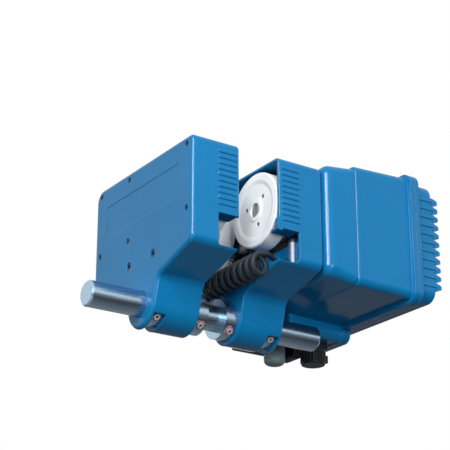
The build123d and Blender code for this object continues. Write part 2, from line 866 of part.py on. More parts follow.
# Gear housing with the spigot that centres it in the cheek
gear_hood = loft(
    [
        section(drive_start, gear_near, 0, gear_corner),
        section(housing_joint, gear_far, 0, housing_corner),
    ]
)
gear_space = loft(
    [
        section(back_face, gear_near, housing_wall, gear_corner - housing_wall),
        section(housing_joint, gear_far, housing_wall, housing_corner - housing_wall),
    ]
)
gear_housing = fillet(first_face(gear_hood), gear_housing_round) - gear_space
gear_housing += block(cheek_outer, drive_start + cut_over, -pad_half, pad_half, pad_low, pad_high)
gear_housing += rod_x(spigot_radius, spigot_start, back_face, 0, wheel_axis_z)
near_bearing_end = spigot_start + bearing_width
far_bearing_start = back_face - bearing_width
gear_housing -= rod_x(bearing_radius - spigot_shoulder, spigot_start, back_face, 0, wheel_axis_z)
gear_housing -= rod_x(bearing_radius, spigot_start, near_bearing_end, 0, wheel_axis_z)
gear_housing -= rod_x(bearing_radius, far_bearing_start, back_face, 0, wheel_axis_z)
lay_near_start = back_face - layshaft_bearing_width
gear_housing -= rod_x(layshaft_bearing_radius, lay_near_start, back_face, layshaft_y, layshaft_z)
for y, z in drive_screw_places:
    gear_housing -= rod_x(drive_screw_radius, cheek_outer, back_face, y, z)
save(gear_housing, "gear_housing")

drive_screws = []
for y, z in drive_screw_places:
    head_start = plate_inside - drive_screw_head
    head = rod_x(drive_screw_head_radius, head_start, plate_inside, y, z)
    head -= hex_x(drive_screw_radius * 1.5, head_start, head_start + drive_screw_socket, y, z)
    drive_screws.append(head + rod_x(drive_screw_radius, plate_inside, back_face, y, z))
save(Compound(children=drive_screws), "drive_screws")

# Output shaft with the drive gear, the large final gear, and the layshaft with its gear
output_shaft = rod_x(axle_radius, rim_start, final_end + gear_side_room, 0, wheel_axis_z)
drive_gear_start = rim_start + (rim_width - drive_gear_width) / 2
drive_gear_end = drive_gear_start + drive_gear_width
output_shaft += gear_x(wheel_module, drive_teeth, 0, drive_gear_start, drive_gear_end, 0, wheel_axis_z)
save(output_shaft, "output_shaft")
final_gear = gear_x(final_module, final_teeth, to_layshaft, final_start, final_end, 0, wheel_axis_z)
save(final_gear - rod_x(axle_radius, final_start, final_end, 0, wheel_axis_z), "final_gear")

pinion_phase = to_layshaft + math.pi + math.pi / final_pinion_teeth
lay_far_end = housing_joint + layshaft_bearing_width
layshaft = rod_x(layshaft_radius, lay_near_start, lay_far_end, layshaft_y, layshaft_z)
pinion_start = final_start - pinion_over
pinion_end = final_end + pinion_over
layshaft += gear_x(
    final_module, final_pinion_teeth, pinion_phase, pinion_start, pinion_end, layshaft_y, layshaft_z
)
save(layshaft, "layshaft")
first_gear = gear_x(first_module, first_teeth, to_motor, first_start, first_end, layshaft_y, layshaft_z)
save(first_gear - rod_x(layshaft_radius, first_start, first_end, layshaft_y, layshaft_z), "first_gear")

# Motor housing: drafted hood, lobe below it, lip round its open end, and the seat for the stator
motor_hood = loft(
    [
        section(housing_joint, motor_near, 0, housing_corner),
        section(motor_housing_end, motor_far, 0, housing_corner),
    ]
)
motor_space = loft(
    [
        section(motor_wall, motor_near, housing_wall, housing_corner - housing_wall),
        section(motor_housing_end, motor_far, housing_wall, housing_corner - housing_wall),
    ]
)
lobe = extrude(lobe_section(housing_joint, 0), motor_housing_end - housing_joint)
lobe_space = extrude(lobe_section(motor_wall, lobe_wall), motor_housing_end - motor_wall)


def lip_outline(x, inset):
    """Outline of the lips where housing and end cap meet."""
    outline = section(x, motor_far, inset - lip_proud, housing_corner + lip_proud - inset)
    return outline + lobe_section(x, inset - lobe_lip_proud)


motor_housing = fillet(first_face(motor_hood), motor_housing_round)
motor_housing += fillet(first_face(lobe), motor_housing_round)
lip = extrude(lip_outline(lip_start, 0), lip_width)
motor_housing += lip
motor_housing -= motor_space
motor_housing -= lobe_space
motor_housing += ring_x(
    stator_radius + stator_seat, stator_radius, motor_wall - cut_over, shield_start, motor_y, motor_z
)
motor_housing += rod_x(motor_boss_radius, motor_wall - cut_over, motor_bearing_end, motor_y, motor_z)
motor_housing -= rod_x(motor_bearing_radius, motor_bearing_start, motor_bearing_end, motor_y, motor_z)
motor_hole = motor_shaft_radius + motor_shaft_room
motor_housing -= rod_x(motor_hole, housing_joint, motor_bearing_start, motor_y, motor_z)
motor_housing -= rod_x(layshaft_bearing_radius, housing_joint, lay_far_end, layshaft_y, layshaft_z)
cap_screw_places = [(side * cap_screw_half, z) for side in (-1, 1) for z in cap_screw_rows]
for y, z in cap_screw_places:
    motor_housing += rod_x(cap_boss_radius, motor_wall - cut_over, motor_housing_end, y, z)
    motor_housing -= rod_x(cap_screw_radius, cap_seat - cap_screw_length, motor_housing_end, y, z)
save(motor_housing, "motor_housing")

# Bearings fixed in the drive unit: output shaft, layshaft and motor shaft
unit_bearings = [
    ring_x(bearing_radius, axle_radius + running_gap, spigot_start, near_bearing_end, 0, wheel_axis_z),
    ring_x(bearing_radius, axle_radius + running_gap, far_bearing_start, back_face, 0, wheel_axis_z),
]
for start, end in ((lay_near_start, back_face), (housing_joint, lay_far_end)):
    inner = layshaft_radius + running_gap
    unit_bearings.append(ring_x(layshaft_bearing_radius, inner, start, end, layshaft_y, layshaft_z))
for start, end in ((motor_bearing_start, motor_bearing_end), (rear_bearing_start, shield_end)):
    inner = motor_shaft_radius + running_gap
    unit_bearings.append(ring_x(motor_bearing_radius, inner, start, end, motor_y, motor_z))
save(Compound(children=unit_bearings), "unit_bearings")

# Motor: stator with its end windings, rotor on a shaft with a pinion, end shield and brake
stator = ring_x(stator_radius, rotor_radius + air_gap, stator_start, stator_end, motor_y, motor_z)
winding_near = ring_x(
    winding_outer, winding_inner, stator_start - winding_length, stator_start, motor_y, motor_z
)
winding_far = ring_x(winding_outer, winding_inner, stator_end, stator_end + winding_length, motor_y, motor_z)
save(Compound(children=[stator, winding_near, winding_far]), "stator")

pinion_phase = to_motor + math.pi + math.pi / first_pinion_teeth
pinion_start = first_start - pinion_over
pinion_end = first_end + pinion_over
motor_shaft = rod_x(motor_shaft_radius, pinion_start, motor_shaft_tip, motor_y, motor_z)
motor_shaft += gear_x(
    first_module, first_pinion_teeth, pinion_phase, pinion_start, pinion_end, motor_y, motor_z
)
save(motor_shaft, "motor_shaft")
save(ring_x(rotor_radius, motor_shaft_radius, stator_start, stator_end, motor_y, motor_z), "rotor_core")

end_shield = rod_x(stator_radius + stator_seat, shield_start, shield_end, motor_y, motor_z)
end_shield += rod_x(motor_boss_radius, rear_bearing_start, shield_start, motor_y, motor_z)
end_shield -= rod_x(motor_bearing_radius, rear_bearing_start, shield_end, motor_y, motor_z)
save(end_shield, "end_shield")
magnet_inner = motor_shaft_radius + brake_magnet_room
save(ring_x(brake_magnet_radius, magnet_inner, shield_end, magnet_end, motor_y, motor_z), "brake_magnet")
save(ring_x(brake_disc_radius, motor_shaft_radius, disc_start, disc_end, motor_y, motor_z), "brake_disc")

# Gasket between the lips, and the end cap with its fins
gasket = extrude(lip_outline(motor_housing_end, gasket_inset), gasket_width)
gasket -= extrude(section(motor_housing_end, motor_far, housing_wall, housing_corner), gasket_width)
gasket -= extrude(lobe_section(motor_housing_end, lobe_wall), gasket_width)
for y, z in cap_screw_places:
    gasket -= rod_x(cap_screw_radius + seat_gap, motor_housing_end, cap_start, y, z)
save(gasket, "lip_gasket")

cap_body = extrude(section(cap_start, motor_far, cap_inset, cap_corner), cap_face - cap_start)
cap_body = fillet(cap_body.faces().sort_by(Axis.X)[-1].edges(), cap_round)
fin_room = block(cap_start, fin_face, -cap_half, cap_half, motor_bottom_far, motor_top_far)
fin_room = fillet(fin_room.edges().filter_by(Axis.Z).sort_by(Axis.X)[-2:], fin_corner)
fin_root = cap_face - cap_round
ridge_start = cap_start + lip_width + ridge_setback
ridge_half = cap_half + ridge_proud
for number in range(fin_count):
    z = fin_low + number * fin_pitch
    outline = Polyline(
        (fin_root, z - fin_base / 2),
        (cap_face, z - fin_base / 2),
        (fin_face, z - fin_tip / 2),
        (fin_face, z + fin_tip / 2),
        (cap_face, z + fin_base / 2),
        (fin_root, z + fin_base / 2),
        close=True,
    )
    profile = make_face(outline)
    for side in (-1, 1):
        profile = fillet(nearest_corner(profile, fin_face, z + side * fin_tip / 2), fin_tip * 0.45)
    fin = extrude(Plane.XZ.offset(-cap_half) * profile, 2 * cap_half)
    cap_body += fin & fin_room
    ridge = block(ridge_start, cap_face, -ridge_half, ridge_half, z - fin_tip / 2, z + fin_tip / 2)
    cap_body += fillet(ridge.edges().filter_by(Axis.Z), ridge_proud * 0.9)
end_cap = cap_body + extrude(lip_outline(cap_start, 0), lip_width)
cap_space = section(cap_start, motor_far, cap_inset + cap_wall, cap_corner - cap_wall)
end_cap -= extrude(cap_space, cap_inside - cap_start)
for y, z in cap_screw_places:
    end_cap += rod_x(cap_boss_radius, cap_start, cap_seat + cap_boss_floor, y, z) & cap_body
    end_cap -= rod_x(cap_screw_radius + seat_gap, cap_start, cap_seat, y, z)
    end_cap -= rod_x(cap_screw_head_radius + seat_gap, cap_seat, fin_face, y, z)
save(end_cap, "end_cap")

cap_screws = []
for y, z in cap_screw_places:
    head = rod_x(cap_screw_head_radius, cap_seat, cap_seat + cap_screw_head, y, z)
    socket_start = cap_seat + cap_screw_head - cap_screw_socket
    head -= hex_x(cap_screw_radius * 1.6, socket_start, cap_seat + cap_screw_head, y, z)
    cap_screws.append(head + rod_x(cap_screw_radius, cap_seat - cap_screw_length, cap_seat, y, z))
save(Compound(children=cap_screws), "cap_screws")

# Connection box under the housings, with its lid, lid screws and a blank gland
box_top = gear_bottom_near + box_overlap
connection_box = block(box_start, box_end, box_front, box_rear, box_bottom, box_top)
connection_box = fillet(connection_box.edges().filter_by(Axis.Z), box_wall)
connection_box -= gear_hood
connection_box -= motor_hood
connection_box -= lobe
lid_rim = box_wall + 3 * lid_screw_radius
room_low = [lid_start + lid_rim, lid_front + box_wall]
room_high = [housing_joint - box_wall, box_rear - box_wall]
room_top = box_bottom + box_room_height
connection_box -= block(room_low[0], room_high[0], room_low[1], room_high[1], box_bottom, room_top)
lid_low = box_bottom - lid_thickness
connection_lid = block(lid_start, box_end, lid_front, box_rear, lid_low, box_bottom)
connection_lid = fillet(connection_lid.edges().filter_by(Axis.Z), box_wall)
connection_lid = fillet(connection_lid.faces().sort_by(Axis.Z)[0].edges(), lid_screw_head)
lid_screws = []
lid_seat = lid_low + 2 * lid_screw_head
lid_screw_top = box_bottom + lid_screw_grip
lid_middle = (lid_front + box_rear) / 2
for x in (lid_start + lid_rim / 2, box_end - lid_rim / 2):
    connection_lid -= rod_z(lid_screw_head_radius + seat_gap, lid_low, lid_seat, x, lid_middle)
    connection_lid -= rod_z(lid_screw_radius, lid_seat, box_bottom, x, lid_middle)
    connection_box -= rod_z(lid_screw_radius, box_bottom, lid_screw_top, x, lid_middle)
    head = rod_z(lid_screw_head_radius, lid_seat - lid_screw_head, lid_seat, x, lid_middle)
    lid_screws.append(head + rod_z(lid_screw_radius, lid_seat, lid_screw_top, x, lid_middle))
save(connection_box, "connection_box")
save(connection_lid, "connection_lid")
save(Compound(children=lid_screws), "lid_screws")

gland_base = box_bottom - gland_hex_height
gland_low = gland_base - gland_nut_height
gland_hex = Plane.XY.offset(gland_base) * Pos(gland_x, gland_y) * RegularPolygon(gland_radius, 6)
gland_dome = rod_z(gland_nut_radius, gland_low, gland_base, gland_x, gland_y)
gland_dome = fillet(gland_dome.faces().sort_by(Axis.Z)[0].edges(), gland_round)
save(extrude(gland_hex, gland_hex_height) + gland_dome, "blank_gland")

# Socket under the lobe, with the block that holds it against the box, and its turning cap
base_low = lobe_bottom - socket_base_height
socket_base = block(
    socket_x - socket_base_half,
    socket_x + socket_base_half,
    socket_y - socket_base_half,
    socket_y + socket_base_half,
    base_low,
    lobe_bottom,
)
socket_base = fillet(socket_base.edges().filter_by(Axis.Z), box_wall)
socket_base += rod_z(socket_radius, base_low - socket_length, base_low, socket_x, socket_y)
bridge_end = socket_x - socket_base_half + 2 * box_wall
bridge_front = socket_y + holder_front
bridge_rear = socket_y + socket_base_half
socket_base += block(box_end, bridge_end, bridge_front, bridge_rear, base_low, lobe_bottom)
holder = block(box_end, holder_end, bridge_front, socket_y + holder_rear, holder_bottom, lobe_bottom)
socket_base += fillet(holder.faces().sort_by(Axis.Z)[0].edges(), holder_width / 4)
save(socket_base, "socket_base")

ring_top = base_low - seat_gap
ring_inside = base_low - socket_length - seat_gap
ring_low = ring_inside - cap_floor
socket_cap = rod_z(cap_ring_radius, ring_low, ring_top, socket_x, socket_y)
socket_cap = fillet(socket_cap.faces().sort_by(Axis.Z)[0].edges(), cap_floor / 2)
for number in range(cap_rib_count):
    angle = 2 * math.pi * (number + 0.5) / cap_rib_count
    x = socket_x + cap_ring_radius * math.cos(angle)
    y = socket_y + cap_ring_radius * math.sin(angle)
    socket_cap += rod_z(cap_rib_radius, ring_low + cap_floor, ring_top - cap_floor, x, y)
tab_middle = (ring_low + ring_top) / 2
socket_cap += block(
    socket_x + cap_ring_radius - cap_floor,
    socket_x + cap_ring_radius + cap_tab_length,
    socket_y - cap_tab_width / 2,
    socket_y + cap_tab_width / 2,
    tab_middle - cap_tab_height / 2,
    tab_middle + cap_tab_height / 2,
)
socket_cap -= rod_z(socket_radius + seat_gap, ring_inside, ring_top, socket_x, socket_y)
save(socket_cap, "socket_cap")

# Cord: from a grommet in the slot wall through the curls, then down, along and into the box
grommet_x = slot_wall
grommet = rod_x(grommet_radius, grommet_x - grommet_face, grommet_x, grommet_y, grommet_z)
grommet += rod_x(grommet_stem_radius, grommet_x, grommet_x + grommet_stem, grommet_y, grommet_z)
save(grommet, "cord_grommet")

cord_gland_start = box_start - cord_gland_length
nut_start = box_start - cord_gland_nut
cord_gland = rod_x(cord_gland_radius - cord_gland_step, cord_gland_start, nut_start, tail_rear_y, tail_height)
cord_gland = fillet(cord_gland.faces().sort_by(Axis.X)[0].edges(), cord_gland_round)
cord_gland += hex_x(2 * cord_gland_radius, nut_start, box_start, tail_rear_y, tail_height)
save(cord_gland, "cord_gland")


def biarc(start, start_way, end, end_way):
    """Two arcs that leave start along start_way and reach end along end_way."""
    chord = end - start
    ways = start_way + end_way
    a = 2 * (1 - start_way.dot(end_way))
    b = 2 * chord.dot(ways)
    c = -chord.dot(chord)
    reach = (-b + math.sqrt(b * b - 4 * a * c)) / (2 * a)
    near = start + start_way * reach
    far = end - end_way * reach
    joint = (near + far) * 0.5
    return [TangentArc(start, joint, tangent=start_way), TangentArc(joint, end, tangent=far - near)]


def curl_point(angle):
    """Point on the curls; they start at the top and wind towards the rear."""
    x = curl_axis_x - curl_radius * math.sin(angle)
    z = curl_axis_z + curl_radius * math.cos(angle)
    return Vector(x, curl_start_y + curl_pitch * angle / (2 * math.pi), z)


def curl_way(angle):
    """Heading of the cord on the curls."""
    way = Vector(
        -curl_radius * math.cos(angle), curl_pitch / (2 * math.pi), -curl_radius * math.sin(angle)
    )
    return way.normalized()


quarter = math.pi / 2
quarter_count = 4 * curl_turns + 1
curl_end = quarter_count * quarter
cord_start = Vector(grommet_x - grommet_face, grommet_y, grommet_z)
lead_end = cord_start + Vector(-cord_lead, 0, 0)
tail_start = Vector(curl_point(curl_end).X, curl_end_y + tail_reach, tail_height)
tail_end = Vector(tail_start.X, tail_low_y, tail_height)
turn_end = Vector(tail_start.X + tail_turn, tail_rear_y, tail_height)
cord_end = Vector(cord_gland_start, tail_rear_y, tail_height)
cord_path = [Line(cord_start, lead_end)]
cord_path += biarc(lead_end, Vector(-1, 0, 0), curl_point(0), curl_way(0))
for number in range(quarter_count):
    near_angle = number * quarter
    far_angle = near_angle + quarter
    cord_path += biarc(
        curl_point(near_angle), curl_way(near_angle), curl_point(far_angle), curl_way(far_angle)
    )
cord_path += biarc(curl_point(curl_end), curl_way(curl_end), tail_start, Vector(0, 1, 0))
cord_path.append(Line(tail_start, tail_end))
cord_path.append(TangentArc(tail_end, turn_end, tangent=(0, 1, 0)))
cord_path.append(Line(turn_end, cord_end))
cord_section = Plane(origin=cord_start, z_dir=(-1, 0, 0)) * Circle(cord_radius)
cord = sweep(cord_section, path=Wire([piece.edge() for piece in cord_path]))
save(cord, "curly_cord")

cord_length = sum(piece.length for piece in cord_path)
along = 0.0
cord_points = []
for piece in cord_path:
    steps = max(2, round(piece.length / 1.5))
    for step in range(steps):
        cord_points.append((along + piece.length * step / steps, piece @ (step / steps)))
    along += piece.length
least_gap = min(
    (first[1] - second[1]).length
    for place, first in enumerate(cord_points)
    for second in cord_points[place + 1 :]
    if second[0] - first[0] > 6 * cord_radius
)
radii = [piece.edge().radius for piece in cord_path if piece.edge().geom_type == GeomType.CIRCLE]
print("cord length", round(cord_length, 1), "least gap", round(least_gap - 2 * cord_radius, 2))
print("lead radii", [round(value, 1) for value in radii[:2]], "curls", round(min(radii[2:-3]), 2))
print("tail radii", [round(value, 1) for value in radii[-3:]])
print("cord volume over section times length", cord.volume / (math.pi * cord_radius**2 * cord_length))
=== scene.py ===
import math

import bpy
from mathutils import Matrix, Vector


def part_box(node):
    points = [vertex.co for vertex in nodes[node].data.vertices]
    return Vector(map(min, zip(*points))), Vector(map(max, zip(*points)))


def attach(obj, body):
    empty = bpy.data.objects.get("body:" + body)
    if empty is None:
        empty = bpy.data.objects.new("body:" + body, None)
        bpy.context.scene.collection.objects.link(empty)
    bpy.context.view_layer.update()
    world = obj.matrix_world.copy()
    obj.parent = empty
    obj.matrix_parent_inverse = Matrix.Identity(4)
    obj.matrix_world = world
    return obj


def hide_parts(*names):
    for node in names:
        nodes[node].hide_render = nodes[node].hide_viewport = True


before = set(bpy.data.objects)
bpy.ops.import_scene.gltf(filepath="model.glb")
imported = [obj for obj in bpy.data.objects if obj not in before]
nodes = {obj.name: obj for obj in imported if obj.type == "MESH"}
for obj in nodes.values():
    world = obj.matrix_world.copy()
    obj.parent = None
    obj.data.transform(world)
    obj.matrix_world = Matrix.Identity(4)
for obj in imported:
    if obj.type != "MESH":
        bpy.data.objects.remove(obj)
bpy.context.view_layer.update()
bpy.ops.object.select_all(action="DESELECT")

# Crossbar and clamp collars: bright drawn steel, with faint die lines that run along the bar.
# The collars are parted off the same kind of stock and slid on from the bar's ends.
even = (1, 1, 1)
noise_low = 0.3
noise_high = 0.7
darkest = 0.01


def start_finish(name, metallic, specular):
    """New material for one kind of surface."""
    finish = bpy.data.materials.new(name)
    finish.use_nodes = True
    shader = finish.node_tree.nodes["Principled BSDF"]
    shader.inputs["Metallic"].default_value = metallic
    shader.inputs["Specular IOR Level"].default_value = specular
    return finish


def piece_noise(finish, stretch, scale, detail):
    """Noise on the piece's own coordinates, drawn out along X, Y and Z."""
    tree = finish.node_tree
    place = tree.nodes.new("ShaderNodeTexCoord")
    mapping = tree.nodes.new("ShaderNodeMapping")
    mapping.inputs["Scale"].default_value = stretch
    noise = tree.nodes.new("ShaderNodeTexNoise")
    noise.inputs["Scale"].default_value = scale
    noise.inputs["Detail"].default_value = detail
    tree.links.new(place.outputs["Object"], mapping.inputs["Vector"])
    tree.links.new(mapping.outputs["Vector"], noise.inputs["Vector"])
    return noise.outputs["Fac"]


def tint(finish, value, dark, light):
    """Base colour that runs between two tones with a noise value."""
    tree = finish.node_tree
    ramp = tree.nodes.new("ShaderNodeValToRGB")
    ramp.color_ramp.elements[0].position = noise_low
    ramp.color_ramp.elements[0].color = (*dark, 1)
    ramp.color_ramp.elements[1].position = noise_high
    ramp.color_ramp.elements[1].color = (*light, 1)
    tree.links.new(value, ramp.inputs["Fac"])
    tree.links.new(ramp.outputs["Color"], tree.nodes["Principled BSDF"].inputs["Base Color"])


def vary_gloss(finish, value, low, high):
    """Roughness that runs between two levels with a noise value."""
    tree = finish.node_tree
    spread = tree.nodes.new("ShaderNodeMapRange")
    spread.inputs["From Min"].default_value = noise_low
    spread.inputs["From Max"].default_value = noise_high
    spread.inputs["To Min"].default_value = low
    spread.inputs["To Max"].default_value = high
    tree.links.new(value, spread.inputs["Value"])
    tree.links.new(spread.outputs["Result"], tree.nodes["Principled BSDF"].inputs["Roughness"])


def add_relief(finish, value, height, strength):
    """Fine relief from a value, laid over any relief that is already there."""
    tree = finish.node_tree
    normal = tree.nodes["Principled BSDF"].inputs["Normal"]
    bump = tree.nodes.new("ShaderNodeBump")
    bump.inputs["Distance"].default_value = height
    bump.inputs["Strength"].default_value = strength
    tree.links.new(value, bump.inputs["Height"])
    if normal.is_linked:
        tree.links.new(normal.links[0].from_socket, bump.inputs["Normal"])
    tree.links.new(bump.outputs["Normal"], normal)


def paint_shade_where_low(finish, value, low, high):
    """Painted shade: nearly black where a value is low, and the finish's own colour where it is high."""
    tree = finish.node_tree
    base = tree.nodes["Principled BSDF"].inputs["Base Color"]
    spread = tree.nodes.new("ShaderNodeMapRange")
    spread.inputs["From Min"].default_value = low
    spread.inputs["From Max"].default_value = high
    spread.inputs["To Min"].default_value = darkest
    scaled = tree.nodes.new("ShaderNodeVectorMath")
    scaled.operation = "SCALE"
    tree.links.new(value, spread.inputs["Value"])
    tree.links.new(base.links[0].from_socket, scaled.inputs["Vector"])
    tree.links.new(spread.outputs["Result"], scaled.inputs["Scale"])
    tree.links.new(scaled.outputs["Vector"], base)


def dress(finish, *names):
    """Give CAD nodes one finish."""
    for name in names:
        nodes[name].data.materials.clear()
        nodes[name].data.materials.append(finish)


drawn_steel = start_finish("drawn_steel", metallic=1.0, specular=0.5)
die_lines = piece_noise(drawn_steel, (1, 40, 40), scale=22, detail=2)
tint(drawn_steel, die_lines, dark=(0.33, 0.45, 0.57), light=(0.45, 0.61, 0.77))
vary_gloss(drawn_steel, die_lines, low=0.2, high=0.28)
add_relief(drawn_steel, die_lines, height=0.00002, strength=0.15)
collars = ["idle_outer_collar", "idle_inner_collar", "drive_inner_collar", "drive_outer_collar"]
dress(drawn_steel, "crossbar", *collars)

# Collar set screws: plated steel with hexagon sockets, turned in hard against the bar.
# Each one is dabbed with pink-red marking paint after it has been tightened.
screw_plate = start_finish("plated_screw", metallic=0.6, specular=0.5)
plate_cloud = piece_noise(screw_plate, even, scale=700, detail=2)
tint(screw_plate, plate_cloud, dark=(0.78, 0.8, 0.82), light=(0.9, 0.91, 0.93))
vary_gloss(screw_plate, plate_cloud, low=0.25, high=0.45)
bar_height = sum(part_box("crossbar")[corner][2] for corner in (0, 1)) / 2
collar_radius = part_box(collars[0])[1][2] - bar_height
screw_tree = screw_plate.node_tree
screw_place = screw_tree.nodes.new("ShaderNodeTexCoord")
from_bar = screw_tree.nodes.new("ShaderNodeMapping")
from_bar.inputs["Location"].default_value = (0, 0, -bar_height)
from_bar.inputs["Scale"].default_value = (0, 1, 1)
bar_distance = screw_tree.nodes.new("ShaderNodeVectorMath")
bar_distance.operation = "LENGTH"
screw_tree.links.new(screw_place.outputs["Object"], from_bar.inputs["Vector"])
screw_tree.links.new(from_bar.outputs["Vector"], bar_distance.inputs[0])
# Painted shade: below the screw rim the colour falls to nearly black, so the inside of the hex sockets
# and the screw below the collar surface are painted dark.
socket_floor = collar_radius + 0.0004
screw_rim = collar_radius + 0.0012
paint_shade_where_low(screw_plate, bar_distance.outputs["Value"], socket_floor, screw_rim)
dress(screw_plate, "idle_collar_screws", "drive_collar_screws")

marking_paint = start_finish("marking_paint", metallic=0.0, specular=0.4)
paint_cloud = piece_noise(marking_paint, even, scale=420, detail=4)
tint(marking_paint, paint_cloud, dark=(0.4, 0.15, 0.2), light=(0.6, 0.32, 0.38))
vary_gloss(marking_paint, paint_cloud, low=0.3, high=0.55)
add_relief(marking_paint, paint_cloud, height=0.0003, strength=0.5)

dab_thickness = 0.0004
dab_lift = 0.0001
screw_ring = 0.0041
ring_points = 40
ring_count = 3
ring_growth = 1.16
wavy_from = 1.3
wave_depth = 0.12
wave_count = 3
wave_shift = 90
lean = math.radians(45)
for collar in collars:
    low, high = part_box(collar)
    middle = Vector(((low[0] + high[0]) / 2, 0, bar_height))
    outward = Vector((0, -math.sin(lean), -math.cos(lean)))
    surface = middle + outward * collar_radius
    bpy.ops.mesh.primitive_circle_add(vertices=ring_points, radius=screw_ring, location=surface)
    dab = bpy.context.object
    dab.name = f"{collar}_paint_dab"
    dab.rotation_euler = outward.to_track_quat("Z", "Y").to_euler()
    bpy.ops.object.transform_apply(location=True, rotation=True, scale=True)
    bpy.ops.object.mode_set(mode="EDIT")
    for step in range(ring_count):
        bpy.ops.mesh.extrude_edges_move()
        bpy.ops.transform.resize(value=(ring_growth, ring_growth, ring_growth), center_override=surface)
    bpy.ops.object.mode_set(mode="OBJECT")
    for point in dab.data.vertices:
        away = point.co - surface
        turn = math.atan2(away.x, away.cross(outward).x)
        if away.length > screw_ring * wavy_from:
            wave = math.sin(wave_count * turn + middle.x * wave_shift)
            point.co = surface + away * (1 + wave_depth * wave)
    wrap = dab.modifiers.new("on_collar", "SHRINKWRAP")
    wrap.target = nodes[collar]
    wrap.wrap_method = "NEAREST_SURFACEPOINT"
    wrap.offset = dab_lift
    coat = dab.modifiers.new("paint_coat", "SOLIDIFY")
    coat.thickness = dab_thickness
    coat.offset = 1
    soften = dab.modifiers.new("soft_rim", "SUBSURF")
    soften.levels = 1
    soften.render_levels = 1
    for change in ("on_collar", "paint_coat", "soft_rim"):
        bpy.ops.object.modifier_apply(modifier=change)
    bpy.ops.object.mode_set(mode="EDIT")
    bpy.ops.mesh.select_all(action="SELECT")
    bpy.ops.mesh.normals_make_consistent(inside=False)
    bpy.ops.object.mode_set(mode="OBJECT")
    bpy.ops.object.shade_smooth()
    dab.data.materials.append(marking_paint)
    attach(dab, f"{collar.split('_')[0]}_side")
    bpy.ops.object.select_all(action="DESELECT")

# Cheeks and drive housings: aluminium castings, sprayed in a thick glossy blue.
# The paint follows the casting's skin, so its surface has a slight orange peel.
edge_radius = 0.0016
blue_paint = start_finish("blue_paint", metallic=0.0, specular=0.19)
blue_tree = blue_paint.node_tree
soft_edge = blue_tree.nodes.new("ShaderNodeBevel")
soft_edge.samples = 8
soft_edge.inputs["Radius"].default_value = edge_radius
blue_tree.links.new(soft_edge.outputs["Normal"], blue_tree.nodes["Principled BSDF"].inputs["Normal"])
paint_tone = piece_noise(blue_paint, even, scale=14, detail=3)
tint(blue_paint, paint_tone, dark=(0.003, 0.19, 0.45), light=(0.005, 0.21, 0.49))
vary_gloss(blue_paint, paint_tone, low=0.12, high=0.18)
orange_peel = piece_noise(blue_paint, even, scale=420, detail=2)
add_relief(blue_paint, orange_peel, height=0.00012, strength=0.08)
castings = ["idle_cheek", "drive_cheek", "gear_housing", "motor_housing", "end_cap"]
dress(blue_paint, *castings)

# Axle plates, axles and clips: zinc-plated steel, blanked or turned.
# They sit inside the cheeks and show only from below and through the slots.
zinc = start_finish("zinc_plate", metallic=1.0, specular=0.5)
zinc_cloud = piece_noise(zinc, even, scale=160, detail=3)
tint(zinc, zinc_cloud, dark=(0.4, 0.41, 0.41), light=(0.58, 0.59, 0.6))
vary_gloss(zinc, zinc_cloud, low=0.32, high=0.52)
add_relief(zinc, zinc_cloud, height=0.00008, strength=0.2)
for side in ("idle", "drive"):
    dress(zinc, f"{side}_axle_plate", f"{side}_axles", f"{side}_axle_clips")

# Wheels: off-white cast polyamide, turned on the tread and the faces, with three deep blind holes.
# Two sealed bearings are pressed into each one from the outer side.
hole_reach = 0.015
hole_dark = 0.2
hole_clear = 0.4
wheel_nylon = start_finish("wheel_nylon", metallic=0.0, specular=0.4)
nylon_cloud = piece_noise(wheel_nylon, even, scale=55, detail=4)
tint(wheel_nylon, nylon_cloud, dark=(0.79, 0.83, 0.86), light=(0.85, 0.89, 0.92))
# Painted shade: where the ambient occlusion value is low, in deep recesses and most of all in the three
# blind holes, the nylon colour falls to nearly black.
hole_shade = wheel_nylon.node_tree.nodes.new("ShaderNodeAmbientOcclusion")
hole_shade.inputs["Distance"].default_value = hole_reach
paint_shade_where_low(wheel_nylon, hole_shade.outputs["AO"], hole_dark, hole_clear)
vary_gloss(wheel_nylon, nylon_cloud, low=0.36, high=0.5)
turning_marks = piece_noise(wheel_nylon, (9, 1, 1), scale=320, detail=2)
add_relief(wheel_nylon, turning_marks, height=0.0001, strength=0.12)
bearing_steel = start_finish("bearing_steel", metallic=1.0, specular=0.5)
bearing_cloud = piece_noise(bearing_steel, (40, 1, 1), scale=30, detail=2)
tint(bearing_steel, bearing_cloud, dark=(0.48, 0.49, 0.5), light=(0.64, 0.65, 0.66))
vary_gloss(bearing_steel, bearing_cloud, low=0.2, high=0.34)
for side in ("idle", "drive"):
    for end in ("front", "rear"):
        dress(wheel_nylon, f"{side}_wheel_{end}")
        dress(bearing_steel, f"{side}_bearings_{end}")

# Guide rollers: turned and hardened steel, worn to a dull shine on the round face.
# They spin on upright headed pins at the four ends of the slots.
roller_steel = start_finish("roller_steel", metallic=1.0, specular=0.5)
roller_rings = piece_noise(roller_steel, (1, 1, 70), scale=12, detail=3)
tint(roller_steel, roller_rings, dark=(0.24, 0.29, 0.38), light=(0.3, 0.36, 0.46))
vary_gloss(roller_steel, roller_rings, low=0.46, high=0.58)
for side in ("idle", "drive"):
    dress(roller_steel, f"{side}_roller_front", f"{side}_roller_rear")

# Cheek screws, bolts, housing screws and roller pins: blackened steel, the screws sunk into the castings.
# Some of the blue spray has settled on the dark heads.
black_screw = start_finish("blackened_screw", metallic=0.0, specular=0.4)
black_cloud = piece_noise(black_screw, even, scale=600, detail=3)
tint(black_screw, black_cloud, dark=(0.012, 0.03, 0.06), light=(0.02, 0.07, 0.15))
vary_gloss(black_screw, black_cloud, low=0.3, high=0.55)
for side in ("idle", "drive"):
    dress(black_screw, f"{side}_cheek_screws", f"{side}_cheek_bolts", f"{side}_roller_pins")
dress(black_screw, "drive_screws", "cap_screws", "lid_screws")

